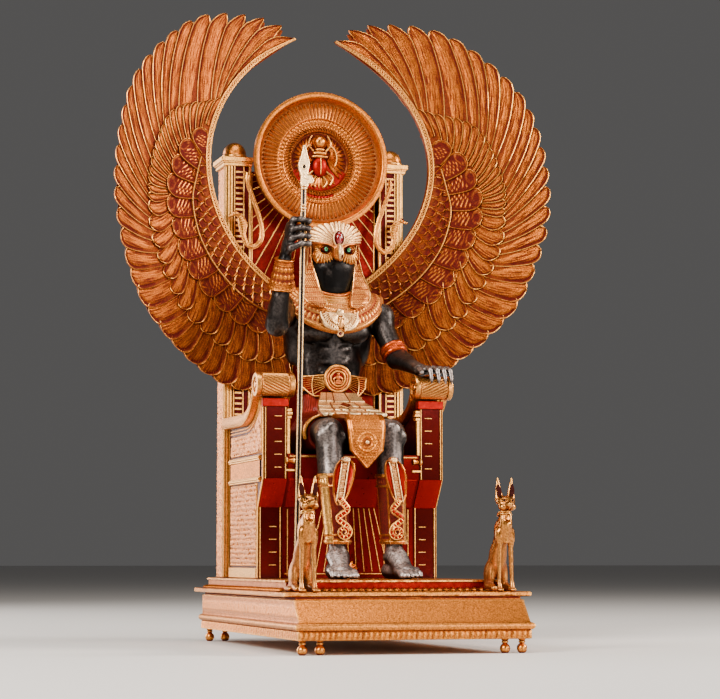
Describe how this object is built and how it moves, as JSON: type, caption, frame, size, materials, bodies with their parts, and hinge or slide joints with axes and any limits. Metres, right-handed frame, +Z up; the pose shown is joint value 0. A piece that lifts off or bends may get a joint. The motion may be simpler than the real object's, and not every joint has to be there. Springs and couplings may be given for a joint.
{
  "type": "enthroned falcon-headed statue",
  "caption": "Seated falcon-headed figure on a winged throne with a sun disc, a staff, seated cats and a stepped plinth on ball feet.",
  "frame": {"origin": "bottom centre of the bounding box, on the surface under the ball feet", "axes": "+Z up, the figure faces -Y, +X to the viewer's right"},
  "size_m": [0.4168, 0.369, 0.6031],
  "materials": {
    "gold": "warm antique gold, satin, with dark red-brown wash in the recesses",
    "enamel": "deep red translucent enamel over resin, glossy",
    "black": "polished black with a gunmetal sheen"
  },
  "bodies": {
    "root": {"foot_front_left_outer": "gold", "foot_front_left_inner": "gold", "foot_front_right_outer": "gold", "foot_front_right_inner": "gold", "foot_back_left_outer": "gold", "foot_back_left_inner": "gold", "foot_back_right_outer": "gold", "foot_back_right_inner": "gold", "plinth": "gold", "dais": "enamel", "throne_seat": "enamel", "throne_arm_left": "gold", "throne_arm_right": "gold", "armrest_roll_left": "gold", "armrest_roll_right": "gold", "throne_back": "enamel", "pillar_left": "gold", "pillar_right": "gold", "dome_left": "gold", "dome_right": "gold", "sun_disc": "gold", "cobra_left": "gold", "cobra_right": "gold", "wing_left": "gold", "wing_right": "gold", "figure": "black", "mask": "gold", "collar": "gold", "belt": "gold", "apron": "gold", "kilt": "enamel", "greave_left": "gold", "greave_right": "gold", "bracer": "gold", "armband": "gold", "staff": "gold", "cat_left": "gold", "cat_right": "gold"}
  },
  "joints": []
}
